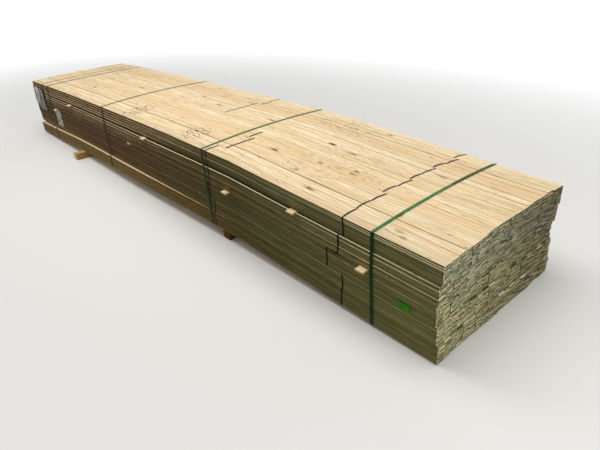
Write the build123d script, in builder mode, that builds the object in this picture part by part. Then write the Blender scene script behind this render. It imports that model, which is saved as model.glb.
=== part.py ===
from build123d import *
import os

# Battens, two side by side in each of the ten layers of a mini-bundle
batten_length = 5100.0
batten_width = 50.0
batten_thickness = 9.8
layer_gap = 0.2
pair_gap = 0.2
layers_per_bundle = 10
near_step = 1.4
near_steps = 4
cut_margin = 2.0

# Black straps round each mini-bundle, one list of places for each tier from the bottom
bundle_strap_width = 9.0
bundle_strap_thickness = 0.5
bundle_strap_clearance = 0.2
bundle_strap_stagger = 10.5
bundle_strap_places = ((586.0, 1700.0, 4790.0), (562.0, 1668.0, 4762.0), (668.0, 1712.0, 4738.0),
                       (590.0, 1680.0, 4760.0), (552.0, 1600.0, 4785.0))
far_middle_strap_shift = 620.0

# Tiers of mini-bundles side by side, counted from the bottom; all places are distances from the near end
bundles_across = 10
tier_count = 5
tier_set_back = (0.0, 9.0, 16.0, 9.0, 2.0)
tier_side_shift = (-13.0, -3.0, -5.0, -7.0, 4.0)
crown_rise = 22.0
crown_spans = 5

# Laths laid crosswise on two of the tiers
lath_width = 50.0
lath_thickness = 9.8
lath_clearance = 0.5
lath_stick_out = 42.0
lath_far_inset = 8.0
lath_places = {2: (422.0, 1518.0, 2850.0, 4475.0), 3: (908.0, 2545.0, 4025.0)}

# Two bearers under the pack, and the heights of its drooping near end and of the bottom tier's far end
near_bearer_place = 1620.0
near_bearer_width = 70.0
near_bearer_height = 70.0
near_bearer_inset = 10.0
far_bearer_place = 3935.0
far_bearer_width = 76.0
far_bearer_height = 58.0
far_bearer_stick_out = 115.0
far_bearer_far_stick_out = 25.0
bearer_seat = 0.3
near_end_lift = 2.0
bottom_far_end_lift = 18.0

# Green straps round the whole pack
pack_strap_width = 19.0
pack_strap_thickness = 0.9
pack_strap_clearance = 0.3
pack_strap_places = (375.0, 1745.0, 3272.0, 4626.0)

# Thin things on the near side: bare label, document pouch, scrap of loose film
side_clearance = 0.3
label_place = 188.0
label_length = 78.0
label_height = 30.0
label_thickness = 0.4
label_drop = 300.0
pouch_place = 4955.0
pouch_length = 230.0
pouch_height = 205.0
pouch_thickness = 2.0
pouch_drop = 148.0
film_place = 4470.0
film_length = 100.0
film_height = 140.0
film_thickness = 0.6
film_drop = 295.0

# Sizes of the mini-bundle and of the pack that follow
layer_pitch = batten_thickness + layer_gap
bundle_width = 2 * batten_width + pair_gap
bundle_height = layers_per_bundle * layer_pitch - layer_gap
strap_space = bundle_strap_thickness + 2 * bundle_strap_clearance
lath_space = lath_thickness + 2 * lath_clearance
bundle_pitch = bundle_width + strap_space
pack_width = bundles_across * bundle_pitch - strap_space
tier_base = [0.0]
for tier in range(tier_count - 1):
    tier_base.append(tier_base[tier] + bundle_height + (lath_space if tier in lath_places else strap_space))
pack_height = tier_base[-1] + bundle_height
longest_set_back = max(tier_set_back) + near_step * (near_steps - 1)

# The origin is under the middle of everything, and the far bearer reaches furthest on both sides
near_end_x = (batten_length + longest_set_back) / 2
near_side_y = (far_bearer_stick_out - far_bearer_far_stick_out - pack_width) / 2

# The pack is straight over both bearers and bends down past the near one; the bottom tier also bends past the far one
near_bend_x = near_end_x - near_bearer_place + near_bearer_width / 2
near_seat_x = near_end_x - near_bearer_place - near_bearer_width / 2
far_bend_x = near_end_x - far_bearer_place - far_bearer_width / 2
far_end_x = near_end_x - batten_length - longest_set_back
middle_slope = (near_bearer_height - far_bearer_height) / (near_seat_x - far_bend_x)
far_bend_z = far_bearer_height + bearer_seat
near_bend_z = far_bend_z + middle_slope * (near_bend_x - far_bend_x)
far_end_z = far_bend_z + middle_slope * (far_end_x - far_bend_x)
near_points = [(near_bend_x, near_bend_z), (near_end_x, near_end_lift)]
upper_line = [(far_end_x, far_end_z), *near_points]
bottom_line = [(far_end_x, bottom_far_end_lift), (far_bend_x, far_bend_z), *near_points]


def line_of(tier):
    """Points (x, z) of the line under the pack that a tier follows."""
    return upper_line if tier else bottom_line


def sag(tier, x):
    """Height above the floor of the line that a tier follows."""
    for (x0, z0), (x1, z1) in zip(line_of(tier), line_of(tier)[1:]):
        if x <= x1:
            break
    return z0 + (z1 - z0) * (x - x0) / (x1 - x0)


def arch(across):
    """Height of the crown as a share, 0 at the sides of the pack and 1 in its middle."""
    return 4 * across * (1 - across)


def crown(y, level):
    """Rise of a level of the pack at y over the flat bottom tier, in straight spans between points of the arch."""
    across = (y - near_side_y) / pack_width * crown_spans
    span = min(max(int(across), 0), crown_spans - 1)
    start = arch(span / crown_spans)
    end = arch((span + 1) / crown_spans)
    share = max(level - tier_base[1], 0) / (pack_height - tier_base[1])
    return crown_rise * share * (start + (end - start) * (across - span))


def side_outline(tier, far_x, near_x, low, high):
    """Outline, seen from the near side, of a piece between two levels that bends with its tier."""
    bends = [x for x, z in line_of(tier)[1:-1] if far_x < x < near_x]
    xs = [far_x, *bends, near_x]
    under = [(x, sag(tier, x) + low) for x in xs]
    over = [(x, sag(tier, x) + high) for x in reversed(xs)]
    return under + over


def along(tier, x, width):
    """Sweep of a cross-section from x over its width, up or down the slope of a tier."""
    return Vector(width, 0, sag(tier, x + width) - sag(tier, x))


def column_y(tier, column):
    """Near side of a mini-bundle."""
    return near_side_y + tier_side_shift[tier] + column * bundle_pitch


def layer_end(tier, column, layer):
    """Near end of the battens of one layer, which are slid a little against each other."""
    step = (3 * layer + 5 * column + 2 * tier) % near_steps
    return near_end_x - tier_set_back[tier] - near_step * step


def layer_sides(tier, column, layer):
    """Near side and width of the solids of a layer: both battens where their faces show, else the pair."""
    y = column_y(tier, column)
    if tier == tier_count - 1 and layer == layers_per_bundle - 1:
        return [(y, batten_width), (y + batten_width + pair_gap, batten_width)]
    return [(y, bundle_width)]


def bundle_section(tier, column, x):
    """Corners (y, z) of a mini-bundle cut at x, in turn."""
    left = column_y(tier, column)
    right = left + bundle_width
    base = tier_base[tier]
    top_layer = base + bundle_height - batten_thickness
    low = [(y, base + crown(y, base)) for y in (left, right)]
    high = [(y, base + bundle_height + crown(y, top_layer)) for y in (right, left)]
    return [(y, sag(tier, x) + z) for y, z in low + high]


os.makedirs("parts", exist_ok=True)

# The gaps between the mini-bundles of the bottom tier are cut in from both ends as far as the near
# bearer, so each layer of this flat tier is one solid
near_cut_x = near_bend_x + cut_margin
far_cut_x = near_seat_x + cut_margin
with BuildPart() as bundle_gaps:
    with BuildSketch(Plane.XY):
        for start_x, end_x in ((far_end_x, far_cut_x), (near_cut_x, near_end_x)):
            with Locations(((start_x + end_x) / 2, near_side_y + tier_side_shift[0] + pack_width / 2)):
                with GridLocations(0, bundle_pitch, 1, bundles_across - 1):
                    Rectangle(end_x - start_x, strap_space)
    extrude(amount=pack_height)

with BuildPart() as battens:
    layers = []
    for layer in range(layers_per_bundle):
        low = layer * layer_pitch
        near_x = layer_end(0, 0, layer)
        outline = side_outline(0, near_x - batten_length, near_x, low, low + batten_thickness)
        with BuildSketch(Plane.XZ.offset(-column_y(0, 0))):
            with BuildLine():
                Polyline(*outline, close=True)
            make_face()
        extrude(amount=pack_width, dir=(0, 1, 0), mode=Mode.REPLACE)
        add(bundle_gaps.part, mode=Mode.SUBTRACT)
        layers += battens.part.solids()
    add(layers, mode=Mode.REPLACE)
battens.part.label = "tier_1"
export_step(battens.part, "parts/tier_1.step")

# Battens of the other tiers, each layer of a mini-bundle by itself
for tier in range(1, tier_count):
    with BuildPart() as battens:
        layers = []
        for column in range(bundles_across):
            for layer in range(layers_per_bundle):
                level = tier_base[tier] + layer * layer_pitch
                near_x = layer_end(tier, column, layer)
                for y, width in layer_sides(tier, column, layer):
                    low = level + crown(y, level)
                    across = Vector(0, width, crown(y + width, level) - crown(y, level))
                    outline = side_outline(tier, near_x - batten_length, near_x, low, low + batten_thickness)
                    with BuildSketch(Plane.XZ.offset(-y)):
                        with BuildLine():
                            Polyline(*outline, close=True)
                        make_face()
                    layers += extrude(amount=across.length, dir=across, mode=Mode.PRIVATE).solids()
        add(layers, mode=Mode.REPLACE)
    battens.part.label = f"tier_{tier + 1}"
    export_step(battens.part, f"parts/tier_{tier + 1}.step")

# Black straps, one node for each tier, on every mini-bundle that shows from above, below or a side
for tier in range(tier_count):
    shows_all = tier in (0, tier_count - 1)
    columns = range(bundles_across) if shows_all else (0, bundles_across - 1)
    with BuildPart() as bundle_straps:
        rings = []
        for column in columns:
            for number, place in enumerate(bundle_strap_places[tier]):
                is_shifted = number == 1 and column >= bundles_across / 2
                shift = bundle_strap_stagger * (column % 2) + far_middle_strap_shift * is_shifted
                far_x = near_end_x - place - shift - bundle_strap_width / 2
                run = along(tier, far_x, bundle_strap_width)
                with BuildSketch(Plane.YZ.offset(far_x)):
                    with BuildLine():
                        Polyline(*bundle_section(tier, column, far_x), close=True)
                    section = make_face(mode=Mode.PRIVATE)
                    offset(section, bundle_strap_clearance + bundle_strap_thickness, kind=Kind.INTERSECTION)
                    offset(section, bundle_strap_clearance, kind=Kind.INTERSECTION, mode=Mode.SUBTRACT)
                rings += extrude(amount=run.length, dir=run, mode=Mode.PRIVATE).solids()
        add(rings, mode=Mode.REPLACE)
    bundle_straps.part.label = f"bundle_straps_{tier + 1}"
    export_step(bundle_straps.part, f"parts/bundle_straps_{tier + 1}.step")

# Green straps, pulled tight round the corners of the whole pack
for number, place in enumerate(pack_strap_places, start=1):
    far_x = near_end_x - place - pack_strap_width / 2
    run = along(tier_count - 1, far_x, pack_strap_width)
    with BuildPart() as pack_strap:
        with BuildSketch(Plane.YZ.offset(far_x)):
            with BuildLine():
                for tier in range(tier_count):
                    for column in range(bundles_across):
                        Polyline(*bundle_section(tier, column, far_x), close=True)
            section = make_hull(mode=Mode.PRIVATE)
            offset(section, pack_strap_clearance + pack_strap_thickness, kind=Kind.INTERSECTION)
            offset(section, pack_strap_clearance, kind=Kind.INTERSECTION, mode=Mode.SUBTRACT)
        extrude(amount=run.length, dir=run)
    pack_strap.part.label = f"pack_strap_{number}"
    export_step(pack_strap.part, f"parts/pack_strap_{number}.step")

# Spacer laths, bent over the crown of the tier they lie on
lath_number = 0
for tier, places in lath_places.items():
    level = tier_base[tier] + bundle_height + lath_clearance
    bends = [near_side_y + pack_width * bend / crown_spans for bend in range(1, crown_spans)]
    ys = [near_side_y - lath_stick_out, *bends, near_side_y + pack_width - lath_far_inset]
    for place in places:
        lath_number += 1
        far_x = near_end_x - place - lath_width / 2
        run = along(tier, far_x, lath_width)
        low = sag(tier, far_x) + level
        under = [(y, low + crown(y, level)) for y in ys]
        over = [(y, z + lath_thickness) for y, z in reversed(under)]
        with BuildPart() as spacer_lath:
            with BuildSketch(Plane.YZ.offset(far_x)):
                with BuildLine():
                    Polyline(*under, *over, close=True)
                make_face()
            extrude(amount=run.length, dir=run)
        spacer_lath.part.label = f"spacer_lath_{lath_number}"
        export_step(spacer_lath.part, f"parts/spacer_lath_{lath_number}.step")

# Bearers
near_bearer_length = pack_width - 2 * near_bearer_inset
far_bearer_length = pack_width + far_bearer_stick_out + far_bearer_far_stick_out
bearers = (("near", near_bearer_place, -near_bearer_inset, near_bearer_width, near_bearer_length, near_bearer_height),
           ("far", far_bearer_place, far_bearer_stick_out, far_bearer_width, far_bearer_length, far_bearer_height))
for name, place, stick_out, width, length, height in bearers:
    with BuildPart(Plane((near_end_x - place, near_side_y - stick_out, 0))) as bearer:
        Box(width, length, height, align=(Align.CENTER, Align.MIN, Align.MIN))
    bearer.part.label = f"bearer_{name}"
    export_step(bearer.part, f"parts/bearer_{name}.step")

# Label, pouch and film, flat against the tiers they cover; the drop is from the top edge to the middle
plates = (("lot_label", (2,), label_place, label_drop, label_length, label_height, label_thickness),
          ("document_pouch", (2, 3, 4), pouch_place, pouch_drop, pouch_length, pouch_height, pouch_thickness),
          ("film_scrap", (1, 2), film_place, film_drop, film_length, film_height, film_thickness))
for name, covered, place, drop, length, height, thickness in plates:
    back_y = near_side_y + min(tier_side_shift[tier] for tier in covered) - side_clearance
    middle_x = near_end_x - place
    middle_level = pack_height - drop
    low, high = middle_level - height / 2, middle_level + height / 2
    with BuildPart() as plate:
        with BuildSketch(Plane.XZ.offset(thickness - back_y)):
            with BuildLine():
                outline = side_outline(covered[0], middle_x - length / 2, middle_x + length / 2, low, high)
                Polyline(*outline, close=True)
            make_face()
        extrude(amount=thickness, dir=(0, 1, 0))
    plate.part.label = name
    export_step(plate.part, f"parts/{name}.step")
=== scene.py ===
import bpy
import itertools
import math
import numpy as np
from mathutils import Matrix, Vector


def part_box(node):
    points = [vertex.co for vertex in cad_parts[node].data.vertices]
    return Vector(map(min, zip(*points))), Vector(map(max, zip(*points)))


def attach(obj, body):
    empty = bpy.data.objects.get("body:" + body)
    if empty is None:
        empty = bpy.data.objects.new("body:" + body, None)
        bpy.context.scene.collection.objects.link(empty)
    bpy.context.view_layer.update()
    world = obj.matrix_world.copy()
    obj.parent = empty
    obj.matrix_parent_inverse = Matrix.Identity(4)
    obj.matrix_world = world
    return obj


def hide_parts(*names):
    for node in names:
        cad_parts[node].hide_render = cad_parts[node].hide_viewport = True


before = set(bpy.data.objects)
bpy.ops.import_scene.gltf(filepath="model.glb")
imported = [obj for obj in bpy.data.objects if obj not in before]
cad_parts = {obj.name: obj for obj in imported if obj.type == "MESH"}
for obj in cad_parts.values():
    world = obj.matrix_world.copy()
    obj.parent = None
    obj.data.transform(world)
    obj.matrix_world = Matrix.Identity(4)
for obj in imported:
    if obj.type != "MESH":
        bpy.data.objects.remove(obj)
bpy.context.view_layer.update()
draw = np.random.default_rng(5)

# Places and sizes of the pack, in metres, as in the part's source
NEAR_X = 2.5601
SIDE_Y = -0.46005
BATTEN_LENGTH = 5.1
BATTEN_WIDTH = 0.050
BATTEN_THICK = 0.0098
LAYER_PITCH = 0.010
PAIR_PITCH = 0.0502
BUNDLE_PITCH = 0.1011
BUNDLE_WIDTH = 0.1002
BUNDLE_HEIGHT = 0.0998
PACK_WIDTH = 1.0101
PACK_HEIGHT = 0.5224
TIER_BASE = (0.0, 0.1007, 0.2014, 0.3120, 0.4226)
SET_BACK = (0.0, 0.009, 0.016, 0.009, 0.002)
CROWN_RISE = 0.0182
TIERS = range(5)
COLUMNS = range(10)
LAYERS = range(10)
LAST_TIER = TIERS[-1]
LAST_COLUMN = COLUMNS[-1]
LAST_LAYER = LAYERS[-1]

# Camera at the photograph's viewpoint, with its angles in radians
AZIMUTH, ELEVATION, ROLL = 0.695575, 0.503403, -0.069678
EYE = (NEAR_X + 0.9089, SIDE_Y - 1.4788, 1.6579)
FOCAL_PIXELS = 512.0
IMAGE_WIDTH = 600
camera_data = bpy.data.cameras.new("photo_camera")
camera_data.sensor_width = 36.0
camera_data.lens = FOCAL_PIXELS * camera_data.sensor_width / IMAGE_WIDTH
camera_data.clip_end = 100
camera = bpy.data.objects.new("photo_camera", camera_data)
bpy.context.scene.collection.objects.link(camera)
level = math.cos(ELEVATION)
forward = Vector((-level * math.cos(AZIMUTH), level * math.sin(AZIMUTH), -math.sin(ELEVATION)))
level_right = forward.cross(Vector((0, 0, 1))).normalized()
level_up = level_right.cross(forward)
right = level_right * math.cos(ROLL) + level_up * math.sin(ROLL)
up = right.cross(forward)
camera.matrix_world = Matrix((
    (right.x, up.x, -forward.x, EYE[0]),
    (right.y, up.y, -forward.y, EYE[1]),
    (right.z, up.z, -forward.z, EYE[2]),
    (0, 0, 0, 1),
))
bpy.context.scene.camera = camera
bpy.context.scene.view_settings.view_transform = "Standard"


# Shader expressions
class Value:
    """A shader socket; arithmetic on it adds Math nodes."""

    def __init__(self, finish, socket):
        self.finish = finish
        self.socket = socket

    def math(self, operation, first, second):
        return self.finish.node("ShaderNodeMath", {"operation": operation}, {0: first, 1: second})

    def __add__(self, other):
        return self.math("ADD", self, other)

    def __radd__(self, other):
        return self.math("ADD", other, self)

    def __sub__(self, other):
        return self.math("SUBTRACT", self, other)

    def __rsub__(self, other):
        return self.math("SUBTRACT", other, self)

    def __mul__(self, other):
        return self.math("MULTIPLY", self, other)

    def __rmul__(self, other):
        return self.math("MULTIPLY", other, self)

    def __pow__(self, other):
        return self.math("POWER", self, other)

    def __rpow__(self, other):
        return self.math("POWER", other, self)


class Finish:
    """A material under a plain name, with one Principled shader."""

    def __init__(self, name, roughness, gloss=0.5):
        self.material = bpy.data.materials.new(name)
        self.material.use_nodes = True
        self.tree = self.material.node_tree
        self.tree.nodes.clear()
        self.shader = self.tree.nodes.new("ShaderNodeBsdfPrincipled")
        output = self.tree.nodes.new("ShaderNodeOutputMaterial")
        self.tree.links.new(self.shader.outputs[0], output.inputs["Surface"])
        self.set("Roughness", roughness)
        self.set("Specular IOR Level", gloss)

    def set(self, name, value):
        """Sets or links an input of the shader."""
        self.fill(self.shader.inputs[name], value)

    def fill(self, socket, value):
        """Links a Value to a socket, or sets the socket to a number, colour or vector."""
        if isinstance(value, Value):
            self.tree.links.new(value.socket, socket)
        else:
            socket.default_value = value

    def node(self, kind, settings=None, inputs=None, out=0):
        """Adds a node: its settings first, then the values or links of its sockets."""
        made = self.tree.nodes.new(kind)
        for key, value in (settings or {}).items():
            setattr(made, key, value)
        for key, value in (inputs or {}).items():
            self.fill(made.inputs[key], value)
        return Value(self, made.outputs[out])

    def mix(self, share, first, second, blend="MIX"):
        """Mixes two colours by a share from 0 to 1."""
        settings = {"data_type": "RGBA", "blend_type": blend}
        return self.node("ShaderNodeMix", settings, {0: share, 6: first, 7: second}, 2)

    def tinted(self, colour, tint):
        """A colour multiplied by a tint."""
        return self.mix(1.0, colour, tint, "MULTIPLY")

    def ramp(self, value, low, high, start=0.0, end=1.0):
        """Runs evenly from start to end while value goes from low to high."""
        return self.node("ShaderNodeMapRange", {"clamp": True}, {0: value, 1: low, 2: high, 3: start, 4: end})

    def scaled(self, vector, scale, place=(0, 0, 0)):
        """A vector stretched by scale, then moved by place."""
        return self.node("ShaderNodeMapping", {}, {"Vector": vector, "Location": place, "Scale": scale})

    def axis(self, vector, number):
        """The X, Y or Z of a vector, for number 0, 1 or 2."""
        return self.node("ShaderNodeSeparateXYZ", {}, {0: vector}, number)

    def length(self, vector):
        """Length of a vector."""
        return self.node("ShaderNodeVectorMath", {"operation": "LENGTH"}, {0: vector}, 1)

    def noise(self, vector, scale, detail=3.0, rough=0.5, distortion=0.0):
        """Soft cloudy noise around 0.5."""
        inputs = {"Vector": vector, "Scale": scale, "Detail": detail, "Roughness": rough,
                  "Distortion": distortion}
        return self.node("ShaderNodeTexNoise", {}, inputs)

    def spots(self, vector):
        """Distance from the nearest of many scattered points, about one for each unit cube."""
        return self.node("ShaderNodeTexVoronoi", {"feature": "F1"}, {"Vector": vector, "Scale": 1.0})

    def waves(self, settings, inputs):
        """Bands or rings from 0 to 1."""
        return self.node("ShaderNodeTexWave", settings, inputs, 1)

    def carried(self, name):
        """A number that each point of the mesh carries under a name."""
        return self.node("ShaderNodeAttribute", {"attribute_name": name}, out=2)

    def grain(self):
        """Place along, across and up within one piece, far from that of every other piece."""
        return self.node("ShaderNodeAttribute", {"attribute_name": "grain"}, out=1)

    def place(self):
        """Place in the object's own frame, in metres."""
        return self.node("ShaderNodeTexCoord", out=3)

    def facing(self):
        """Direction that the surface looks in."""
        return self.node("ShaderNodeNewGeometry", out=1)

    def bump(self, height, strength, distance):
        """Relief of the surface."""
        relief = {"Height": height, "Strength": strength, "Distance": distance}
        self.set("Normal", self.node("ShaderNodeBump", {}, relief))


def linear(value):
    """One channel of a colour as the eye sees it, from 0 to 255, in the shader's linear terms."""
    if value < 10.3:
        return value / 255 / 12.92
    return ((value / 255 + 0.055) / 1.055) ** 2.4


def rgb(red, green, blue):
    """An opaque colour, written as the eye sees it."""
    return linear(red), linear(green), linear(blue), 1.0


def upright(finish):
    """Runs from 0 on faces that look up or down to 1 on upright ones."""
    return finish.ramp(finish.axis(finish.facing(), 2) ** 2, 0.95, 0.7)


# Wood: the colours of the battens, and the painted shade that makes their upright faces darker
PALE, WARM, DARK = rgb(253, 242, 210), rgb(221, 189, 137), rgb(148, 102, 56)
BARK_BROWN, SEAM_BROWN = rgb(112, 76, 40), rgb(112, 84, 50)
KNOT_HEART, FLECK_BROWN = rgb(96, 52, 26), rgb(104, 68, 38)
DEEP_SHADOW = rgb(14, 11, 6)
LIT_SIDE, LIT_LEDGE = rgb(255, 250, 226), rgb(255, 250, 222)
LIT_TINT, FAR_LIT_TINT = (1.0, 0.97, 0.74, 1), (0.87, 0.71, 0.40, 1)
# Painted shade on the upright faces: near, in the middle, far, low down at the far end, and on the back side
SIDE_SHADE_TINT, MIDDLE_SIDE_SHADE_TINT = (0.167, 0.193, 0.102, 1), (0.072, 0.080, 0.022, 1)
FAR_SIDE_SHADE_TINT, LOW_SIDE_SHADE_TINT = (0.076, 0.0455, 0.007, 1), (0.21, 0.155, 0.058, 1)
BACK_SHADE_TINT = (0.40, 0.36, 0.25, 1)

# Soft light that each spacer lath throws on the wood above it
LATH_GLOW_TINT = (0.105, 0.052, 0.012, 1)
GLOW_ABOVE, GLOW_LONG, GLOW_HIGH = 0.035, 0.050, 0.045
LATH_GLOWS = []
for number in range(1, 8):
    (low_x, _, low_z), (high_x, _, _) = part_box(f"spacer_lath_{number}")
    LATH_GLOWS.append(((low_x + high_x) / 2, low_z + GLOW_ABOVE))

# Single knots and clusters of stains on top: place from the near end, share of the pack's width, then length,
# width, strength and colour
KNOT_BROWN, KNOT_RED = rgb(128, 92, 48), rgb(120, 52, 24)
MARK_BROWN, MARK_DARK = rgb(72, 54, 36), rgb(40, 30, 24)
LONGEST_KNOT = 0.05
TOP_MARKS = (
    (-1.18, 0.555, 0.030, 0.011, 1.0, KNOT_RED),
    (-0.815, 0.375, 0.018, 0.008, 0.9, KNOT_BROWN),
    (-0.815, 0.340, 0.022, 0.007, 0.8, KNOT_BROWN),
    (-1.04, 0.325, 0.020, 0.011, 0.6, KNOT_BROWN),
    (-1.08, 0.180, 0.018, 0.010, 0.6, KNOT_BROWN),
    (-0.29, 0.080, 0.022, 0.010, 0.38, KNOT_BROWN),
    (-0.25, 0.055, 0.018, 0.011, 0.42, KNOT_BROWN),
    (-1.05, 0.930, 0.024, 0.010, 0.7, KNOT_BROWN),
    (-2.02, 0.125, 0.130, 0.115, 0.8, MARK_BROWN),
    (-2.87, 0.130, 0.110, 0.160, 1.0, MARK_DARK),
    (-0.95, 0.400, 0.350, 0.250, 0.25, MARK_BROWN),
    (-1.35, 0.850, 0.300, 0.150, 0.45, MARK_BROWN),
)


def figured(wood, grain, plain, warm, dark):
    """Figure of sawn softwood over a plain colour, and the streaks and fine lines that its relief follows."""
    streak = wood.noise(wood.scaled(grain, (0.9, 34, 60)), 4.0, 4.0, 0.6)
    fine = wood.noise(wood.scaled(grain, (4, 240, 300)), 3.0, 2.0, 0.6)
    wander = wood.noise(wood.scaled(grain, (0.7, 3, 3)), 2.2, 2.0, 0.5)
    rings = wood.waves(
        {"wave_type": "BANDS", "bands_direction": "Y"},
        {"Vector": wood.scaled(grain, (0.12, 1, 1)), "Scale": 34.0, "Distortion": wander * 16.0,
         "Detail": 1.5, "Detail Scale": 1.2})
    patches = wood.noise(wood.scaled(grain, (1.2, 7, 7)), 2.0, 2.0, 0.5)
    lines = wood.noise(wood.scaled(grain, (0.5, 75, 75)), 2.6, 3.0, 0.65)
    colour = wood.mix(wood.ramp(streak, 0.42, 0.66, 0.0, 0.95), plain, warm)
    colour = wood.mix(wood.ramp(rings, 0.5, 1.0, 0.0, 0.55), colour, dark)
    colour = wood.mix(wood.ramp(fine, 0.5, 0.8, 0.0, 0.5), colour, dark)
    colour = wood.mix(wood.ramp(patches, 0.48, 0.8, 0.0, 0.5), colour, warm)
    colour = wood.mix(wood.ramp(lines, 0.58, 0.70, 0.0, 0.65), colour, dark)
    return colour, streak, fine


def knotty(wood, grain, colour, dark, knots):
    """Adds knots with a dark ring round each, and small brown flecks."""
    spots = wood.spots(wood.scaled(grain, (2.6, 13, 13)))
    chance = wood.noise(wood.scaled(grain, (1.3, 6, 6), (3, 7, 1)), 2.0, 0.0)
    rare = wood.ramp(chance, 0.62 - 0.1 * knots, 0.68 - 0.1 * knots)
    colour = wood.mix(wood.ramp(spots, 0.20, 0.07) * rare * 0.55, colour, dark)
    colour = wood.mix(wood.ramp(spots, 0.10, 0.055) * rare, colour, KNOT_HEART)
    flecks = wood.spots(wood.scaled(grain, (9, 60, 60)))
    some = wood.ramp(wood.noise(wood.scaled(grain, (2, 9, 9), (9, 2, 5)), 2.0, 0.0), 0.50, 0.55)
    return wood.mix(wood.ramp(flecks, 0.16, 0.09) * some * 1.6 * knots, colour, FLECK_BROWN)


def marked(wood, place, colour, dark):
    """Adds the marks on top of the pack: small ones as knots, large ones as clusters of specks."""
    for from_end, across, length, width, strength, shade in TOP_MARKS:
        x, y = NEAR_X + from_end, SIDE_Y + PACK_WIDTH * across
        apart = wood.length(wood.scaled(place, (1 / length, 1 / width, 0), (-x / length, -y / width, 0)))
        if length > LONGEST_KNOT:
            specks = wood.noise(wood.scaled(place, (12, 62, 1)), 1.7, 1.0, 0.5)
            speckled = wood.ramp(apart, 1.0, 0.7) * wood.ramp(specks, 0.56, 0.595)
            colour = wood.mix(speckled * strength, colour, shade)
        else:
            colour = wood.mix(wood.ramp(apart, 1.6, 1.0) * 0.5 * strength, colour, dark)
            colour = wood.mix(wood.ramp(apart, 1.0, 0.7) * strength, colour, shade)
    return colour


def pack_shade_tints(wood, place, side):
    """Tints of the pack's upright faces, which are painted shade with painted light over each lath, and of
    their lit edges, from the near end to the far one.
    """
    along = wood.axis(place, 0)
    far = wood.ramp(along, 1.5, -0.4)
    low = wood.ramp(wood.axis(place, 2), 0.20, 0.14)
    tint = wood.mix(wood.ramp(along, 2.4, 1.1), side, MIDDLE_SIDE_SHADE_TINT)
    tint = wood.mix(far, tint, FAR_SIDE_SHADE_TINT)
    tint = wood.mix(far * low, tint, LOW_SIDE_SHADE_TINT)
    tint = wood.mix(wood.ramp(wood.axis(wood.facing(), 1), -0.2, 0.2), tint, BACK_SHADE_TINT)
    for x, z in LATH_GLOWS:
        near = wood.scaled(place, (1 / GLOW_LONG, 0, 1 / GLOW_HIGH), (-x / GLOW_LONG, 0, -z / GLOW_HIGH))
        tint = wood.mix(wood.ramp(wood.length(near), 1.0, 0.1), tint, LATH_GLOW_TINT, "ADD")
    return tint, wood.mix(far, LIT_TINT, FAR_LIT_TINT)


def sawn_wood(name, pale, warm, dark, knots=0.5, side=None, on_pack=False):
    """Sawn softwood with a tone of its own for every piece; side is the tint of painted shade on its upright
    faces.
    """
    wood = Finish(name, roughness=0.72, gloss=0.10)
    grain, place = wood.grain(), wood.place()
    light = wood.carried("light")
    plain = wood.mix(wood.ramp(wood.carried("tone"), 0.0, 1.0), pale, warm)
    colour, streak, fine = figured(wood, grain, plain, warm, dark)
    colour = knotty(wood, grain, colour, dark, knots)
    if on_pack:
        colour = marked(wood, place, colour, dark)
    broken = wood.ramp(wood.noise(wood.scaled(grain, (3, 0, 0)), 2.0, 3.0, 0.6), 0.3, 0.6, 0.35, 1.0)
    colour = wood.mix(wood.carried("edge") * broken, colour, BARK_BROWN)
    # Upright faces get painted shade, and their lit edges painted light
    if side is not None:
        tint, lit_tint = pack_shade_tints(wood, place, side) if on_pack else (side, LIT_TINT)
        lit = wood.ramp(light, 0.0, 1.0)
        calm = wood.mix(0.25, colour, plain)
        if on_pack:
            patchy = wood.noise(wood.scaled(grain, (0.8, 0, 0)), 2.0, 2.0, 0.5)
            seam = wood.ramp(wood.carried("rise"), 0.16, 0.02) * wood.ramp(patchy, 0.40, 0.62, 0.15, 0.7)
            calm = wood.mix(seam, calm, SEAM_BROWN)
        calm = wood.mix(lit * 0.85, calm, LIT_SIDE)
        colour = wood.mix(lit * 0.7, colour, LIT_LEDGE)
        colour = wood.mix(upright(wood), colour, wood.tinted(calm, wood.mix(lit, tint, lit_tint)))
    colour = wood.mix(wood.ramp(light, 0.0, -1.0), colour, DEEP_SHADOW)
    wood.set("Base Color", colour)
    wood.bump(fine * 0.6 + streak * 0.4, 0.25, 0.0006)
    wood.set("Roughness", wood.ramp(streak, 0.3, 0.8, 0.66, 0.8))
    return wood.material


# Ends of the pack: painted highlights on lit edges, darker patches on lower edges, joints, pits, painted
# shade across the near end, and the calmer tone of the far end
END_LIGHT, END_DARK = rgb(250, 247, 206), rgb(58, 54, 38)
END_JOINT, END_PIT = rgb(46, 42, 30), rgb(44, 38, 26)
FAR_END = rgb(206, 196, 160)
END_SHADE, LOW_END_TINT = (0.38, 0.36, 0.31, 1), (1.0, 0.97, 0.76, 1)


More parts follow.
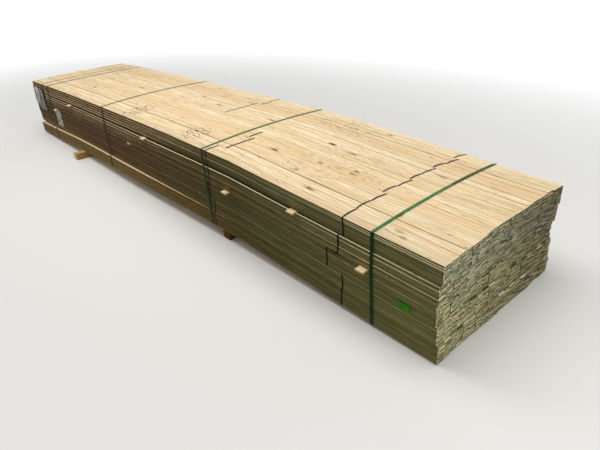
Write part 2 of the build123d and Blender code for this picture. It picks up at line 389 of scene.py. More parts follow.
def pack_ends(wood, grain, colour):
    """Adds painted highlights on lit upper and left edges, darker patches along lower edges, joints and pits
    to the ends of the pack, and painted shade across the near end.
    """
    rise, span = wood.carried("rise"), wood.carried("span")
    caught = wood.noise(wood.scaled(grain, (1, 6, 0)), 2.0, 3.0, 0.65)
    low_edge_patches = wood.noise(wood.scaled(grain, (1, 14, 0), (5, 3, 0)), 2.0, 2.0, 0.6)
    pits = wood.noise(wood.scaled(grain, (1, 45, 110)), 2.0, 1.0, 0.5)
    chance = wood.noise(wood.scaled(grain, (0.2, 0.3, 9), (2, 8, 0)), 2.0, 1.0, 0.5)
    colour = wood.mix(wood.ramp(rise, 0.62, 0.80) * wood.ramp(caught, 0.46, 0.53), colour, END_LIGHT)
    colour = wood.mix(wood.ramp(rise, 0.35, 0.08) * wood.ramp(low_edge_patches, 0.44, 0.56), colour, END_DARK)
    colour = wood.mix(wood.ramp(span, 0.12, 0.05) * wood.ramp(chance, 0.50, 0.56) * 0.8, colour, END_LIGHT)
    joint = wood.ramp((span - 0.5) ** 2, 0.190, 0.230) * wood.ramp(chance, 0.48, 0.42)
    colour = wood.mix(joint * 0.75, colour, END_JOINT)
    colour = wood.mix(wood.ramp(pits, 0.62, 0.68, 0.0, 0.85), colour, END_PIT)
    place = wood.place()
    cloud = wood.noise(place, 5.0, 3.0, 0.6)
    near_end = wood.ramp(wood.axis(place, 0), -0.5, 0.5)
    shaded = wood.ramp(wood.axis(place, 1) + cloud * 0.5, -0.15, 0.6) * near_end
    colour = wood.mix(shaded, colour, wood.tinted(colour, END_SHADE))
    colour = wood.mix(wood.ramp(near_end, 1.0, 0.0, 0.0, 0.45), colour, FAR_END)
    low = wood.ramp(wood.axis(place, 2) + cloud * 0.4, 0.60, 0.40)
    return wood.mix(low, colour, wood.tinted(colour, LOW_END_TINT))


def end_grain(name, pale, grey, dark, on_pack=False):
    """Sawn ends: growth rings seen end on, grey dust, and a tone of its own for every piece."""
    wood = Finish(name, roughness=0.85, gloss=0.18)
    grain = wood.grain()
    rings = wood.waves(
        {"wave_type": "RINGS", "rings_direction": "X"},
        {"Vector": wood.scaled(grain, (0, 1, 1)), "Scale": 60.0, "Distortion": 2.0, "Detail": 1.0})
    dust = wood.noise(wood.scaled(grain, (40, 40, 40)), 3.0, 4.0, 0.65)
    colour = wood.mix(wood.carried("tone"), grey, pale)
    colour = wood.mix(wood.ramp(rings, 0.4, 1.0, 0.0, 0.35), colour, dark)
    colour = wood.mix(wood.ramp(dust, 0.45, 0.75, 0.0, 0.5), colour, dark)
    if on_pack:
        colour = pack_ends(wood, grain, colour)
    wood.set("Base Color", colour)
    wood.bump(dust, 0.3, 0.0006)
    return wood.material


# Each side tint below is painted shade on the upright faces
batten_wood = sawn_wood("batten_wood", PALE, WARM, DARK, side=SIDE_SHADE_TINT, on_pack=True)
batten_ends = end_grain("batten_ends", rgb(172, 179, 148), rgb(97, 102, 81), rgb(80, 78, 56), on_pack=True)
lath_wood = sawn_wood("lath_wood", rgb(253, 238, 200), rgb(244, 222, 176), rgb(198, 158, 108),
                      knots=0.0, side=(0.5, 0.42, 0.28, 1))
lath_ends = end_grain("lath_ends", rgb(222, 190, 140), rgb(200, 166, 116), rgb(140, 104, 66))
reddish_wood = sawn_wood("reddish_wood", rgb(112, 62, 38), rgb(84, 44, 26), rgb(46, 22, 12), knots=0.0)
bearer_wood = sawn_wood("bearer_wood", rgb(210, 182, 132), rgb(188, 156, 102), rgb(140, 106, 64),
                        side=(0.58, 0.52, 0.35, 1))


# Plastic, paper and film
def strapping(name, low, high, rough, side, size):
    """Plastic strap: scuffed, with painted shade where it runs down the sides."""
    strap = Finish(name, roughness=rough, gloss=0.05)
    scuffs = strap.noise(strap.scaled(strap.grain(), (size, size, size)), 4.0, 3.0, 0.6)
    colour = strap.mix(strap.ramp(scuffs, 0.4, 0.75), low, high)
    strap.set("Base Color", strap.mix(upright(strap), colour, strap.tinted(colour, side)))
    strap.set("Roughness", strap.ramp(scuffs, 0.3, 0.8, rough - 0.06, rough + 0.15))
    strap.bump(scuffs, 0.2, 0.0003)
    return strap.material


# The tint after each roughness is painted shade on the strap's upright runs
green_strap = strapping("green_strap", rgb(56, 100, 54), rgb(88, 138, 84), 0.42, (0.08, 0.19, 0.10, 1), 30)
dark_green_strap = strapping(
    "dark_green_strap", rgb(60, 70, 42), rgb(90, 100, 64), 0.45, (0.09, 0.16, 0.08, 1), 30)
black_strap = strapping("black_strap", rgb(34, 32, 36), rgb(64, 60, 64), 0.5, (0.12, 0.11, 0.10, 1), 60)

green_paper = Finish("green_paper", roughness=0.6, gloss=0.1)
creases = green_paper.noise(green_paper.place(), 60.0, 3.0, 0.6)
crease_share = green_paper.ramp(creases, 0.35, 0.7)
green_paper.set("Base Color", green_paper.mix(crease_share, rgb(26, 96, 2), rgb(56, 138, 4)))
green_paper.bump(creases, 0.3, 0.0008)

film = Finish("film", roughness=0.3, gloss=0.25)
film_place = film.place()
printed = film.noise(film_place, 14.0, 2.0, 0.5)
wrinkles = film.noise(film_place, 30.0, 3.0, 0.6, 1.8)
slanted = {"Vector": film_place, "Rotation": (0, 0.8, 0), "Scale": (13, 1, 5)}
# Pale streaks along slanted folds are painted glints on the dark film
glint_folds = film.noise(film.node("ShaderNodeMapping", {}, slanted), 1.3, 3.0, 0.6, 1.0)
dark_print = film.mix(film.ramp(printed, 0.46, 0.6), rgb(14, 13, 8), rgb(56, 52, 38))
film.set("Base Color", film.mix(film.ramp(glint_folds, 0.54, 0.64), dark_print, rgb(226, 212, 182)))
film.set("Roughness", film.ramp(wrinkles, 0.3, 0.7, 0.22, 0.4))
film.bump(wrinkles, 0.8, 0.004)

clear_film = Finish("clear_film", roughness=0.14)
clear_wrinkles = clear_film.noise(clear_film.place(), 17.0, 3.0, 0.6, 1.5)
clear_film.set("Coat Weight", 0.6)
clear_film.set("Base Color", rgb(222, 208, 180))
clear_film.set("Alpha", clear_film.ramp(clear_wrinkles, 0.4, 0.75, 0.12, 0.6))
clear_film.bump(clear_wrinkles, 0.8, 0.004)

# How the underside of the pack hangs over its bearers: places from the near end, each with its height
BOW = np.array((
    (-5.30, 0.0300), (-5.10, 0.0335), (-4.50, 0.0480), (-3.935, 0.0590), (-3.30, 0.0660),
    (-2.75, 0.0690), (-2.20, 0.0703), (-1.66, 0.0706), (-1.58, 0.0702), (-1.20, 0.0510),
    (-0.70, 0.0285), (-0.35, 0.0135), (0.0, 0.0022),
))
# How far each tier stands back from the near side's line, at the near end and at the far end
SIDE_LINES = ((0.002, -0.022), (0.001, -0.004), (-0.003, -0.005), (-0.005, -0.0115), (0.0025, -0.0045))
# Width of each tier, against the even width of the pack
TIER_WIDTH = (1.002, 1.009, 1.013, 1.014, 1.003)
# How far the top tier leans out at most
TOP_LEAN = 0.013
# How much less the layers are stepped on each next mini-bundle, and under a strap for each metre across
LEDGE_FADE, STRAP_LEDGE_FADE = 0.0009, 0.009


def smooth_line(places, heights):
    """A smooth curve through points, as a function."""
    slopes = np.gradient(heights, places)

    def curve(x):
        x = np.asarray(x, float)
        k = np.clip(np.searchsorted(places, x) - 1, 0, len(places) - 2)
        span = places[k + 1] - places[k]
        t = (x - places[k]) / span
        low = (1 + 2 * t) * (1 - t) ** 2 * heights[k] + t * (1 - t) ** 2 * span * slopes[k]
        return low + t * t * (3 - 2 * t) * heights[k + 1] + t * t * (t - 1) * span * slopes[k + 1]

    return curve


underside = smooth_line(BOW[:, 0], BOW[:, 1])


def ease(x, low, high):
    """Runs smoothly from 0 at low to 1 at high."""
    t = np.clip((np.asarray(x, float) - low) / (high - low), 0, 1)
    return t * t * (3 - 2 * t)


def in_turn(x, near, middle, far, first, second):
    """Goes from near to middle over the first stretch of the pack, and on to far over the second."""
    return near + (middle - near) * ease(x, *first) + (far - middle) * ease(x, *second)


def settle(tier, x):
    """How far a tier hangs below its even level, x from the near end."""
    drop = 0.0 * np.asarray(x, float)
    if tier == 0:
        drop = drop + 0.014 * ease(x, -3.9, -4.6) + 0.004 * ease(x, -4.5, -5.1)
    if tier >= 3:
        drop = drop + 0.002 * ease(x, -0.40, 0.0) + 0.001 * ease(x, -4.5, -5.1)
    if tier == LAST_TIER:
        drop = drop + 0.0075 * ease(x, -0.92, -0.05) + 0.003 * ease(x, -4.05, -5.0)
    return drop


def crown(x, y, level):
    """Rise of a level of the pack across it, over the flat bottom tier; the far end lies flatter."""
    across = (np.asarray(y, float) - SIDE_Y) / PACK_WIDTH
    flat = 1 - 0.7 * ease(x, -3.6, -5.1)
    share = np.maximum(np.asarray(level, float) - TIER_BASE[1], 0) / (PACK_HEIGHT - TIER_BASE[1])
    return CROWN_RISE * flat * 4 * across * (1 - across) * share


def side_shift(tier, x):
    """How far a tier stands back from the near side's line, or out of it."""
    start, end = SIDE_LINES[tier]
    turn = ease(x, -1.2, -3.0) if tier == 0 else ease(x, -0.6, -3.2)
    return start + (end - start) * turn


def stand_back(tier, layer, x):
    """How far a layer stands back from its tier's near side, which leaves ledges that catch the light."""
    near = middle = far = 0.0
    if tier == LAST_TIER:
        near = 0.0017 * max(layer - 7, 0)
        middle = 0.0013 * max(layer - 4, 0)
        far = 0.0017 * (layer // 2)
    elif tier == 3:
        near = 0.0017 * (layer > 3) + 0.0017 * (layer > 7)
        middle = 0.0010 * (layer > 4)
        far = 0.0020 * max(layer // 2 - 1, 0)
    elif tier == 2:
        near = 0.0012 * (layer > 7)
    return in_turn(x, near, middle, far, (-0.4, -1.5), (-2.1, -3.2))


def glow(tier, layer, x):
    """How much light the upper edge of a layer catches on the near side."""
    near = middle = far = 0.0
    if tier == LAST_TIER:
        near = 0.9 * (layer in (7, 8))
        middle = 0.75 * (layer == 4) + 0.28 * (4 < layer < 9)
        far = 0.8 * (layer % 2)
    elif tier == 3:
        near = 0.7 * (layer in (3, 7)) + 0.8 * (layer == LAST_LAYER)
        middle = 0.2 * (layer == 5) + 1.0 * (layer == LAST_LAYER)
        far = 0.9 * (layer in (7, 9)) + 0.1 * (layer % 2)
    elif tier == 0:
        far = 0.7 * (layer == LAST_LAYER)
    else:
        near = 0.04 * (layer == 5)
        far = 0.10 * (layer % 3 == 1)
    return in_turn(x, near, middle, far, (-0.3, -1.3), (-2.0, -3.0))


def lean(tier, x, y, level):
    """How far the top tier leans out over the near side, most between the two nearest green straps."""
    if tier < LAST_TIER:
        return 0.0
    reach = TOP_LEAN * ease(x, -2.3, -1.75) * ease(x, 0.0, -0.9)
    return reach * np.clip((level - TIER_BASE[tier]) / BUNDLE_HEIGHT, 0, 1) * (1 - y / PACK_WIDTH)


def at(x, y, level, tier):
    """World points on the pack: x from the near end, y across from the near side's line, at a level."""
    x = np.asarray(x, float)
    y_world = SIDE_Y + y * TIER_WIDTH[tier] + side_shift(tier, x) - lean(tier, x, y, level)
    z = underside(x) + level - settle(tier, x) + crown(x, y_world, level)
    return np.stack(np.broadcast_arrays(NEAR_X + x, y_world, z), -1)


def stacked(*parts):
    """Arrays of one shape after broadcasting, as points."""
    return np.stack(np.broadcast_arrays(*parts), -1)


# What each point of a mesh carries for its finish, with the usual value: the tone of its piece, how barky its
# edge is, how much light it catches, and its share of the piece's height and width
CARRIED = {"tone": 0.5, "edge": 0.0, "light": 0.0, "rise": 0.0, "span": 0.5}
serial_numbers = itertools.count(1)


def grain_of(points, seed):
    """Grain places of a piece's points, far from those of every other piece."""
    return points + seed * np.array((13.7, 5.3, 7.9))


class Pile:
    """Collects skins into one mesh, each point with its grain place and what it carries for its finish."""

    def __init__(self):
        self.points, self.grain, self.faces, self.slots = [], [], [], []
        self.carried = {name: [] for name in CARRIED}
        self.count = 0

    def tube(self, rings, grain, slots=(0, 1), closed=False, **carried):
        """A skin through rings of points, shape (rings, corners, 3), with ends in the second slot."""
        steps, corners = rings.shape[:2]
        start = self.count
        self.count += steps * corners
        self.points.append(rings.reshape(-1, 3))
        self.grain.append(grain.reshape(-1, 3))
        for name, usual in CARRIED.items():
            self.carried[name].append(np.broadcast_to(carried.get(name, usual), (steps, corners)).ravel())
        for i in range(steps if closed else steps - 1):
            j = (i + 1) % steps
            for k in range(corners):
                m = (k + 1) % corners
                face = (i * corners + k, i * corners + m, j * corners + m, j * corners + k)
                self.faces.append([start + v for v in face])
                self.slots.append(slots[0])
        if not closed:
            self.faces.append([start + k for k in range(corners)][::-1])
            self.faces.append([start + (steps - 1) * corners + k for k in range(corners)])
            self.slots += [slots[1]] * 2

    def piece(self, name, materials):
        """The collected mesh as an object that rides on the pack."""
        mesh = bpy.data.meshes.new(name)
        mesh.from_pydata(np.concatenate(self.points).tolist(), [], self.faces)
        for material in materials:
            mesh.materials.append(material)
        mesh.polygons.foreach_set("material_index", self.slots)
        mesh.polygons.foreach_set("use_smooth", [False] * len(self.faces))
        grain = mesh.attributes.new("grain", "FLOAT_VECTOR", "POINT")
        grain.data.foreach_set("vector", np.concatenate(self.grain).ravel())
        for attribute, values in self.carried.items():
            layer = mesh.attributes.new(attribute, "FLOAT", "POINT")
            layer.data.foreach_set("value", np.concatenate(values))
        mesh.update()
        made = bpy.data.objects.new(name, mesh)
        bpy.context.scene.collection.objects.link(made)
        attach(made, "root")
        return made


def bevelled(width, thick, bevel):
    """Corners of a bevelled rectangle, as places across and up."""
    return np.array((
        (bevel, 0), (width - bevel, 0), (width, bevel), (width, thick - bevel),
        (width - bevel, thick), (bevel, thick), (0, thick - bevel), (0, bevel),
    ))


# Battens: a few are pushed in at the near end, and some of the top ones have barky brown edges
# Places along a batten as shares of its length, from the far end to the near one
STATIONS = np.append(np.linspace(1, 0, 15)[:-1], (0.004, 0.0))
BEVEL = 0.0003
EDGE_BAND, BARKY_BAND, LIT_BAND = 0.0035, 0.0060, 0.0038
# Places across an upper face between which its shadow gives way to the lit edge
SHADOW_LINE = (0.0068, 0.0048)
# How far the mini-bundles stand back at the near end, in turn
BUNDLE_STEPS = (0.0, 0.003, 0.001, 0.005, 0.002, 0.0, 0.004)
# Tier, mini-bundle, side and layer of each batten that is pushed in, with how far
PUSHED_IN = {
    (2, 2, 1, 7): 0.035, (2, 3, 0, 7): 0.020, (0, 8, 0, 6): 0.040, (2, 1, 1, 9): 0.020, (4, 7, 0, 7): 0.012,
}
# Mini-bundle and side of each barky top batten, with how brown its near and its far edge are
BARKY = {
    (1, 1): (0.7, 0.0), (1, 0): (0.0, 0.6), (8, 0): (0.0, 0.6), (8, 1): (0.7, 0.0),
    (0, 1): (0.0, 0.3), (3, 1): (0.0, 0.2), (5, 0): (0.3, 0.0), (6, 1): (0.2, 0.0),
}
# Shadow on the upper faces just under the two rows of spacer laths
UPPER_SHADOW = {(2, LAST_LAYER): -0.5, (3, LAST_LAYER): -0.95}


def batten_width(side, on_top):
    """Width of one batten; on top some are narrower, which opens the joints between them."""
    width = BATTEN_WIDTH - 0.0006 * draw.random()
    if on_top:
        narrower = float(draw.choice((0.0, 0.0008, 0.0018), p=(0.45, 0.35, 0.20)))
        width = BATTEN_WIDTH + 0.0001 + 0.0005 * side - narrower
    return width


def batten_section(width, thick, barky, on_near_side, shadow):
    """Corners of a batten's section: place across, height, and how barky that corner is."""
    corners = [(across, height, 0.0) for across, height in bevelled(width, thick, BEVEL)]
    if barky:
        low, high = (0.03 + 0.40 * draw.random() ** 3 + share for share in barky)
        browns = (0, 0, high, high, high, low, low, low)
        corners = [(across, height, brown) for (across, height, _), brown in zip(corners, browns)]
        low_band, high_band = (BARKY_BAND if share > 0.5 else EDGE_BAND for share in (low, high))
        corners[5:5] = [(width - high_band, thick, 0), (low_band, thick, 0)]
    if on_near_side:
        corners[-1:-1] = [(0, thick - LIT_BAND, 0)]
        if shadow:
            corners[5:5] = [(across, thick, 0) for across in SHADOW_LINE]
    return np.array(corners, float)


def batten_light(tier, layer, x, upper, outer, on_near_side, shadow):
    """Light that each point of a batten catches, from -1 in shadow to 1; upper picks its top corners."""
    light = np.tile(draw.normal(0, 0.05) * outer, (len(x), len(upper)))
    light[:, upper] += shadow
    if on_near_side:
        upper_edge = [-3, -4, -5] if shadow else [-3, -4]
        lit = np.clip(glow(tier, layer, x)[:, None] * (0.8 + 0.4 * draw.random()), 0.0, 1.0)
        light[:, upper_edge] = lit - 0.5 * (tier == 2 and layer == LAST_LAYER)
    if tier < LAST_TIER:
        if layer == LAST_LAYER:
            shown = float(draw.choice((-0.85, -0.5, 0.3), p=(0.35, 0.35, 0.30)))
        else:
            shown = 0.5 * draw.random()
        light[-2:, upper] = -0.5 * draw.random() if on_near_side else shown
    return light


def add_batten(pile, tier, column, layer, side, bundle_lean):
    """One batten, with its own length, width, crook, tone and edges."""
    seed = next(serial_numbers)
    on_top = tier == LAST_TIER and layer == LAST_LAYER
    on_near_side = column == 0 and side == 0
    on_far_side = column == LAST_COLUMN and side == 1
    near_slide = SET_BACK[tier] + min(draw.exponential(0.0015), 0.006)
    near_slide += PUSHED_IN.get((tier, column, side, layer), 0.0)
    near_slide += BUNDLE_STEPS[(3 * column + 2 * tier) % len(BUNDLE_STEPS)]
    far_slide = SET_BACK[tier] + 0.0042 * draw.random()
    back = min(abs(draw.normal(0, 0.0004 if tier > 2 else 0.00015)), 0.0012)
    width = batten_width(side, on_top)
    crook = draw.normal(0, 0.0002, 2)
    lift = 0.0002 * draw.random() if on_top else 0.0
    tone = float(np.clip(draw.normal(0.33, 0.28), 0, 1))
    thick = BATTEN_THICK + 0.0002 * (tier < 3 and draw.random() < 0.6)
    x = -near_slide - (BATTEN_LENGTH + far_slide - near_slide) * STATIONS
    y = column * BUNDLE_PITCH + side * PAIR_PITCH + bundle_lean + back * on_near_side - back * on_far_side
    wave = crook[0] * np.sin(x * 1.9 + seed) + crook[1] * np.sin(x * 4.1 + seed)
    if on_near_side or on_far_side:
        wave = np.abs(wave) * (1 if on_near_side else -1)
    ledge = np.maximum(stand_back(tier, layer, x) - LEDGE_FADE * column, 0)
    shadow = UPPER_SHADOW.get((tier, layer), 0.0)
    barky = BARKY.get((column, side), (0.0, 0.0)) if on_top else None
    across, height, brown = batten_section(width, thick, barky, on_near_side, shadow).T
    light = batten_light(tier, layer, x, height == thick, on_near_side or on_far_side, on_near_side, shadow)
    y_all = y + (wave + ledge)[:, None] + across
    points = at(x[:, None], y_all, TIER_BASE[tier] + layer * LAYER_PITCH + 0 * y_all, tier)
    points[..., 2] += height + lift
    grain = grain_of(stacked(x[:, None], across, height), seed)
    pile.tube(points, grain, tone=tone, edge=brown, light=light, rise=height / thick, span=across / width)


for tier in TIERS:
    pile = Pile()
    for column in COLUMNS:
        bundle_lean = draw.normal(0, 0.0002)
        for layer, side in itertools.product(LAYERS, range(2)):
            add_batten(pile, tier, column, layer, side, bundle_lean)
    battens = pile.piece(f"battens_{tier + 1}", (batten_wood, batten_ends))
    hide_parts(f"tier_{tier + 1}")


# Straps
def band(pile, path, width, thick, closed=True, slot=0):
    """A flat strap along a path of points, its width along the pack."""
    spread = np.array((1, 0, 0))
    ahead = np.roll(path, -1, 0) - path
    behind = path - np.roll(path, 1, 0)
    if not closed:
        ahead[-1] = behind[-1]
        behind[0] = ahead[0]
    run = ahead / np.linalg.norm(ahead, axis=1)[:, None] + behind / np.linalg.norm(behind, axis=1)[:, None]
    run /= np.linalg.norm(run, axis=1)[:, None]
    outward = np.cross(run, spread)
    outward /= np.linalg.norm(outward, axis=1)[:, None]
    half = spread * width / 2
    outer = outward * thick
    rings = np.stack((path - half, path + half, path + half + outer, path - half + outer), 1)
    along = np.concatenate(((0,), np.cumsum(np.linalg.norm(np.diff(path, axis=0), axis=1))))
    flat = stacked(along[:, None], np.array((0, width, width, 0)), np.array((0, 0, thick, thick)))
    pile.tube(rings, grain_of(flat, next(serial_numbers)), (slot, slot), closed)


def rounded(points, radius):
    """A closed loop of points with each corner cut by three points."""
    out = []
    for before, corner, after in zip(np.roll(points, 1, 0), points, np.roll(points, -1, 0)):
        first = corner + (before - corner) / np.linalg.norm(before - corner) * radius
        last = corner + (after - corner) / np.linalg.norm(after - corner) * radius
        out += [first, 0.25 * first + 0.5 * corner + 0.25 * last, last]
    return np.array(out)


def hull(points):
    """Convex outline of points in a plane, anticlockwise."""
    points = sorted(map(tuple, points))

    def turns_left(a, b, c):
        return (b[0] - a[0]) * (c[1] - a[1]) > (b[1] - a[1]) * (c[0] - a[0])

    def half(row):
        kept = []
        for point in row:
            while len(kept) > 1 and not turns_left(kept[-2], kept[-1], point):
                kept.pop()
            kept.append(point)
        return kept[:-1]

    return np.array(half(points) + half(points[::-1]))


def dense(loop, gap):
    """A closed loop with points added on its long sides."""
    out = []
    for start, end in zip(loop, np.roll(loop, -1, 0)):
        parts = max(int(np.linalg.norm(end - start) / gap), 1)
        out += [start + (end - start) * part / parts for part in range(parts)]
    return np.array(out)


def tier_outline(tier, x, low_y, high_y, clear):
    """Corners (y, z) of a tier, or of one of its mini-bundles, cut at x, with a clearance."""
    corners = []
    fade = STRAP_LEDGE_FADE * low_y
    for layer in LAYERS:
        level = TIER_BASE[tier] + layer * LAYER_PITCH
        near_y = low_y + max(float(stand_back(tier, layer, x)) - fade, 0)
        for y, aside in ((near_y, -clear), (high_y, clear)):
            corner = at(x, y, level, tier)[1:]
            corners.append(corner + (aside, -clear))
            corners.append(corner + (0, BATTEN_THICK) + (aside, clear))
    return corners


# Black straps round the mini-bundles, at places from the near end for each tier
STRAP_PLACES = (
    (0.570, 1.704, 4.790), (0.562, 1.692, 4.768), (0.667, 1.712, 4.745), (0.589, 1.700, 4.770),
    (0.552, 1.600, 4.785),
)
MIDDLE_STRAP = 1
FAR_MIDDLE_SHIFT = 0.620
TOP_MIDDLE_PLACES = (1.702, 1.618, 1.606, 1.650, 1.745, 2.225, 2.225, 2.228, 2.190, 2.212)
BLACK_WIDTH, BLACK_THICK, BLACK_CLEAR = 0.009, 0.0005, 0.0006
BLACK_CORNER, BLACK_GAP = 0.002, 0.02
NEIGHBOUR_SHIFT = 0.0105


def black_strap_place(tier, column, number):
    """Place of a black strap, from the near end."""
    x = -STRAP_PLACES[tier][number] - NEIGHBOUR_SHIFT * (column % 2) + draw.normal(0, 0.0012)
    if number == MIDDLE_STRAP and column >= 5:
        x -= FAR_MIDDLE_SHIFT
    if number == MIDDLE_STRAP and tier == LAST_TIER:
        x = -TOP_MIDDLE_PLACES[column]
    return x


def add_black_strap(pile, tier, column, number):
    """One black strap round a mini-bundle: a little slanted, and slack on top of the pack."""
    x = black_strap_place(tier, column, number)
    low_y, high_y = column * BUNDLE_PITCH, column * BUNDLE_PITCH + BUNDLE_WIDTH
    corners = tier_outline(tier, x, low_y, high_y, BLACK_CLEAR)
    outline = dense(rounded(hull(corners), BLACK_CORNER), BLACK_GAP)
    middle = SIDE_Y + (low_y + high_y) / 2
    across = (outline[:, 0] - middle) / BUNDLE_WIDTH
    low_z, high_z = outline[:, 1].min(), outline[:, 1].max()
    upward = (outline[:, 1] - low_z) / (high_z - low_z)
    slack = np.cos(np.pi * np.clip(across, -0.5, 0.5)) * (upward > 0.9) * (tier == LAST_TIER)
    slant = draw.normal(0.008, 0.004) * across + draw.normal(0, 0.003) * upward
    slant += 0.004 * np.sin(np.pi * upward) * (abs(across) > 0.49)
    outline[:, 1] += slack * (0.0015 + 0.0015 * draw.random()) * (0.3 if number == MIDDLE_STRAP else 1)
    loop = np.column_stack((NEAR_X + x + slant - 0.004 * slack, outline))
    band(pile, loop, BLACK_WIDTH, BLACK_THICK)


for tier in TIERS:
    pile = Pile()
    for column in COLUMNS:
        if tier in (0, LAST_TIER) or column in (0, LAST_COLUMN):
            for number in range(len(STRAP_PLACES[tier])):
                add_black_strap(pile, tier, column, number)
    straps = pile.piece(f"black_straps_{tier + 1}", (black_strap,))
    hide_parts(f"bundle_straps_{tier + 1}")

# Green straps round the pack; the first has a length of strap lying on it, whose dark green is painted shade
# over the far part of that strap, and a short tail
PACK_STRAPS = (0.375, 1.745, 3.272, 4.626)
GREEN_WIDTH, GREEN_THICK, GREEN_CLEAR, GREEN_CORNER = 0.019, 0.0008, 0.0009, 0.003
TAIL_WIDTH, TAIL_LIFT = 0.015, 0.0021
# Start and end of each loose length as shares of the width, and how far it lies beside the strap's middle
TAILS = ((0.60, 0.975, -0.002), (0.175, 0.20, 0.005))
TOP_LEVEL = TIER_BASE[LAST_TIER] + BUNDLE_HEIGHT


def pack_outline(x, clear):
    """Outline (y, z) of the whole pack cut at x from the near end."""
    outline = []
    for tier in TIERS:
        outline += tier_outline(tier, x, 0, PACK_WIDTH, clear)
    ys = np.linspace(0.02, PACK_WIDTH - 0.02, 15)
    outline += [at(x, y, TOP_LEVEL, LAST_TIER)[1:] + (0, clear) for y in ys]
    return hull(outline)


for number, place in enumerate(PACK_STRAPS, 1):
    pile = Pile()
    outline = pack_outline(-place, GREEN_CLEAR)
    loop = np.column_stack((np.full(len(outline), NEAR_X - place), outline))
    band(pile, rounded(loop, GREEN_CORNER), GREEN_WIDTH, GREEN_THICK)
    if number == 1:
        for start, end, aside in TAILS:
            y = np.linspace(start, end, 9)[::-1] * PACK_WIDTH
            tail = at(-place + aside, y, TOP_LEVEL + TAIL_LIFT, LAST_TIER)
            # The long length's dark green is painted shade on the first strap
            band(pile, tail, TAIL_WIDTH, GREEN_THICK, closed=False, slot=1)
    plastic = green_strap if number < 3 else dark_green_strap
    strap = pile.piece(f"green_strap_{number}", (plastic, dark_green_strap))
    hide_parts(f"pack_strap_{number}")

# Spacer laths over two of the tiers: place from the near end, and how far each sticks out
LATHS = {
    2: ((0.422, 0.038), (1.518, 0.034), (2.850, 0.014), (4.475, 0.036)),
    3: ((0.908, 0.031), (2.545, 0.031), (4.025, 0.034)),
}
LATH_WIDTH, LATH_THICK, LATH_FAR_INSET, LATH_CLEAR = 0.050, 0.0098, 0.008, 0.0005
lath_number = 0
for tier, laths in LATHS.items():
    level = TIER_BASE[tier] + BUNDLE_HEIGHT + LATH_CLEAR
    for place, stick_out in laths:
        lath_number += 1
        pile = Pile()
        ys = np.linspace(-stick_out, PACK_WIDTH - LATH_FAR_INSET, 9)[:, None]
        along, height = bevelled(LATH_WIDTH, LATH_THICK, BEVEL).T
        points = at(-place - LATH_WIDTH / 2 + along + 0 * ys, ys, level, tier)
        points[..., 1] = SIDE_Y + ys
        points[..., 2] += height
        grain = grain_of(stacked(ys, along, height), next(serial_numbers))
        pile.tube(points[:, ::-1], grain[:, ::-1], tone=0.3)
        lath = pile.piece(f"lath_{lath_number}", (lath_wood, lath_ends))
        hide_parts(f"spacer_lath_{lath_number}")

# Bearers
BEARER_BEVEL = 0.0015
for name, wood in (("near", reddish_wood), ("far", bearer_wood)):
    low, high = (np.array(corner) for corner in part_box(f"bearer_{name}"))
    pile = Pile()
    along, height = bevelled(high[0] - low[0], high[2] - low[2], BEARER_BEVEL).T
    ys = np.linspace(low[1], high[1], 5)[:, None]
    grain = grain_of(stacked(ys, along, height), next(serial_numbers))
    pile.tube(stacked(low[0] + along, ys, low[2] + height)[:, ::-1], grain[:, ::-1])
    bearer = pile.piece(f"{name}_bearer", (wood, lath_ends if name == "far" else wood))
    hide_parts(f"bearer_{name}")


# Pouch, loose film and label
SHEET_THICK = 0.0006


def crumpled(name, node, material, proud, cells, size, grow=((0, 0), (0, 0))):
    """A thin crumpled sheet in place of a plate; grow moves its two ends, and its lower and upper edges."""
    low, high = (np.array(corner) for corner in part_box(node))
    low += (grow[0][0], 0, grow[1][0])
    high += (grow[0][1], 0, grow[1][1])
    across, down = cells
    xs, zs = np.linspace(low[0], high[0], across), np.linspace(low[2], high[2], down)
    soft = draw.normal(0, 1, (down, across))
    for axis in (0, 1):
        soft = soft + 0.6 * (np.roll(soft, 1, axis) + np.roll(soft, -1, axis))
    soft = (soft - soft.min()) / (soft.max() - soft.min())
    vertices, faces = [], []
    for depth in (0, SHEET_THICK):
        for (i, z), (k, x) in itertools.product(enumerate(zs), enumerate(xs)):
            on_edge = i in (0, down - 1) or k in (0, across - 1)
            ragged = size * draw.normal(0, 0.3) * 0.5 if on_edge else 0
            y = high[1] - proud * soft[i, k] - depth
            vertices.append((x + ragged, y, z + ragged - 0.004 * (k % 2)))
    for i, k in itertools.product(range(down - 1), range(across - 1)):
        a = i * across + k
        b = across * down + a
        faces.append((a, a + across, a + across + 1, a + 1))
        faces.append((b, b + 1, b + across + 1, b + across))
    rim = list(range(across)) + [i * across + across - 1 for i in range(1, down)]
    rim += [(down - 1) * across + k for k in range(across - 2, -1, -1)]
    rim += [i * across for i in range(down - 2, 0, -1)]
    for a, b in zip(rim, rim[1:] + rim[:1]):
        faces.append((a, b, b + across * down, a + across * down))
    mesh = bpy.data.meshes.new(name)
    mesh.from_pydata(vertices, [], faces)
    mesh.materials.append(material)
    mesh.polygons.foreach_set("use_smooth", [True] * len(faces))
    made = bpy.data.objects.new(name, mesh)
    bpy.context.scene.collection.objects.link(made)
    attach(made, "root")
    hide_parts(node)


crumpled("pouch", "document_pouch", film.material, 0.012, (26, 20), 0.008,
         ((0, 0.055), (-0.035, -0.020)))
crumpled("loose_film", "film_scrap", clear_film.material, 0.010, (12, 14), 0.006,
         ((-0.045, 0.020), (-0.020, 0.005)))
crumpled("label", "lot_label", green_paper.material, 0.002, (12, 5), 0.001)

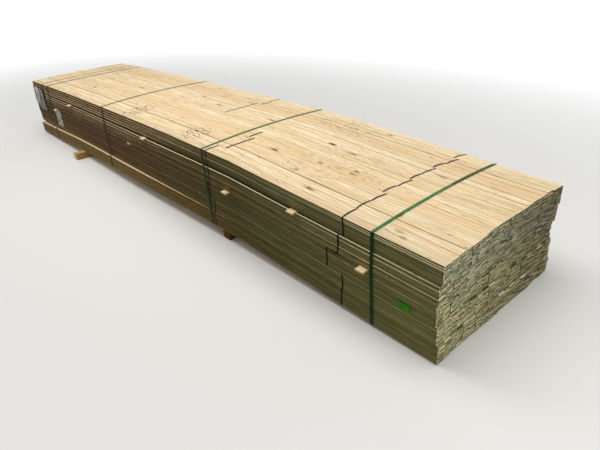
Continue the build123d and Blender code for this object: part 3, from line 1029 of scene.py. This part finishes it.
# Floor: pale, and fading out all round
floor_mesh = bpy.data.meshes.new("floor")
floor_mesh.from_pydata([(-14, -14, 0), (14, -14, 0), (14, 14, 0), (-14, 14, 0)], [], [(0, 1, 2, 3)])
floor = bpy.data.objects.new("floor", floor_mesh)
bpy.context.scene.collection.objects.link(floor)
pale_floor = Finish("pale_floor", roughness=0.9)
pale_floor.set("Base Color", rgb(226, 225, 222))
away = pale_floor.length(pale_floor.scaled(pale_floor.place(), (0.6, 1, 1)))
pale_floor.set("Alpha", pale_floor.ramp(away, 1.6, 4.4, 1.0, 0.0))
floor_mesh.materials.append(pale_floor.material)

# Light: the backdrop is white where it shows, also mirrored or through film, and dimmer where it lights
WHITE, BACKDROP_SEEN = (1, 1, 1, 1), 1.0
COOL, BACKDROP_CAST = (0.94, 0.97, 1.0, 1), 0.35
world = bpy.data.worlds.new("studio")
bpy.context.scene.world = world
world.use_nodes = True
sky = world.node_tree
sky.nodes.clear()
path = sky.nodes.new("ShaderNodeLightPath")
shown = path.outputs["Is Camera Ray"]
for ray in ("Is Glossy Ray", "Is Transmission Ray"):
    either = sky.nodes.new("ShaderNodeMath")
    either.operation = "MAXIMUM"
    sky.links.new(shown, either.inputs[0])
    sky.links.new(path.outputs[ray], either.inputs[1])
    shown = either.outputs[0]
mixed = sky.nodes.new("ShaderNodeMixShader")
sky.links.new(shown, mixed.inputs[0])
for number, (colour, strength) in enumerate(((COOL, BACKDROP_CAST), (WHITE, BACKDROP_SEEN)), 1):
    backdrop = sky.nodes.new("ShaderNodeBackground")
    backdrop.inputs["Color"].default_value = colour
    backdrop.inputs["Strength"].default_value = strength
    sky.links.new(backdrop.outputs[0], mixed.inputs[number])
output = sky.nodes.new("ShaderNodeOutputWorld")
sky.links.new(mixed.outputs[0], output.inputs["Surface"])


def lamp(name, place, target, size, watts, colour):
    """A soft lamp that looks at a target."""
    light = bpy.data.lights.new(name, "AREA")
    light.shape = "RECTANGLE"
    light.size, light.size_y = size
    light.energy = watts
    light.color = colour
    made = bpy.data.objects.new(name, light)
    bpy.context.scene.collection.objects.link(made)
    made.location = place
    made.rotation_euler = (Vector(target) - Vector(place)).to_track_quat("-Z", "Y").to_euler()


lamp("ceiling_lamp", (-0.1, -0.5, 4.4), (-0.2, -0.1, 0.3), (8.0, 2.4), 225, (1.0, 0.98, 0.95))
lamp("front_lamp", (6.2, -0.5, 1.5), (2.5, 0.0, 0.3), (2.4, 2.0), 60, (1.0, 1.0, 0.98))
